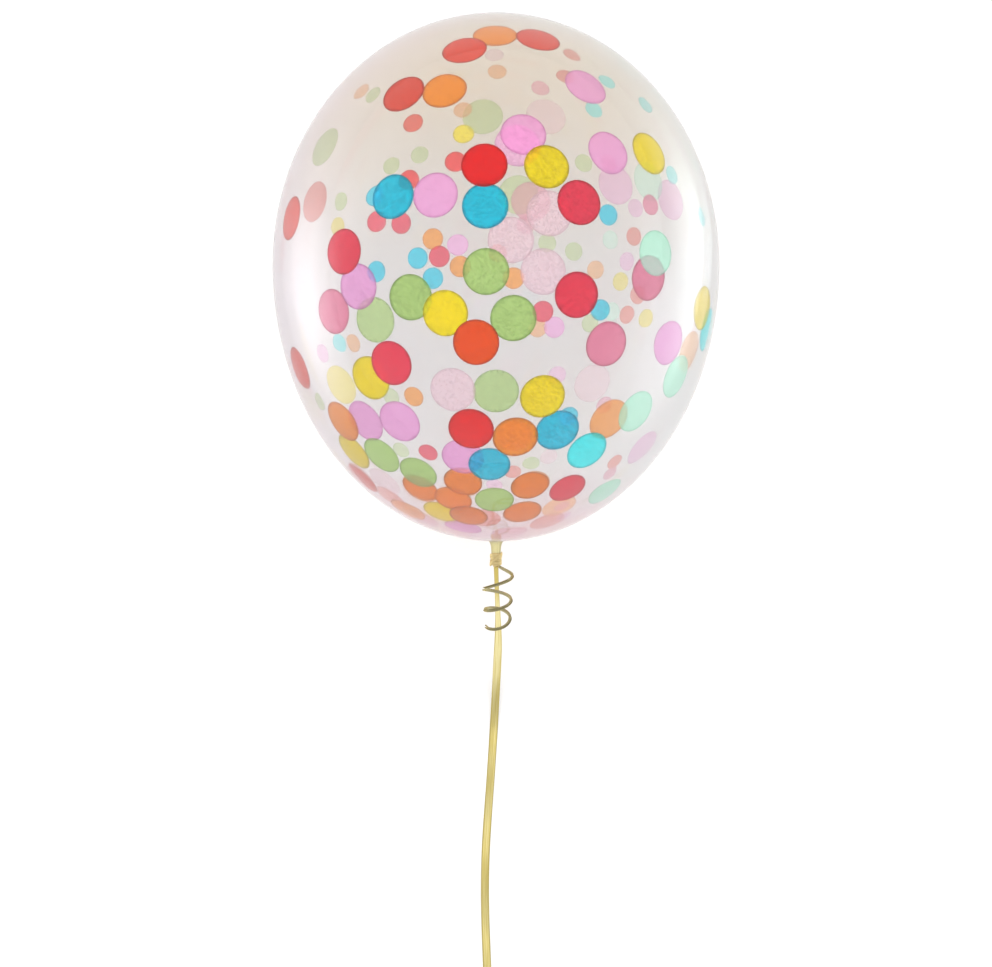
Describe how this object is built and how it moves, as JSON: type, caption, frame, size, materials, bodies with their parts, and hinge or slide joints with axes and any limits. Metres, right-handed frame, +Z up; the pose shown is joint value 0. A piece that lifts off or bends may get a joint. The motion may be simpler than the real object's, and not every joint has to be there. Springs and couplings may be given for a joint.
{
  "type": "confetti balloon",
  "caption": "Clear round party balloon filled with paper confetti, lying on its side, with a knotted gold ribbon that ends in a curl and a tied coil.",
  "frame": {"origin": "on the floor, under the middle of the balloon's envelope", "axes": "+Z up, +Y along the balloon towards its crown, -Y towards the neck and the ribbon, +X to the right; the balloon's axis dips 12 degrees towards the neck"},
  "size_m": [0.266, 0.6441, 0.2659],
  "materials": {
    "clear_latex": "glossy clear latex, faintly milky",
    "gold_ribbon": "metallic gold plastic ribbon with fine ribs along it",
    "tissue_confetti": "thin tissue paper discs in mixed bright colours, matte, fibrous, slightly see-through"
  },
  "bodies": {
    "root": {"balloon": "clear_latex", "ribbon_knot": "gold_ribbon", "ribbon_run": "gold_ribbon", "ribbon_curl": "gold_ribbon", "ribbon_coil": "gold_ribbon", "coil_tie": "gold_ribbon"}
  },
  "joints": []
}
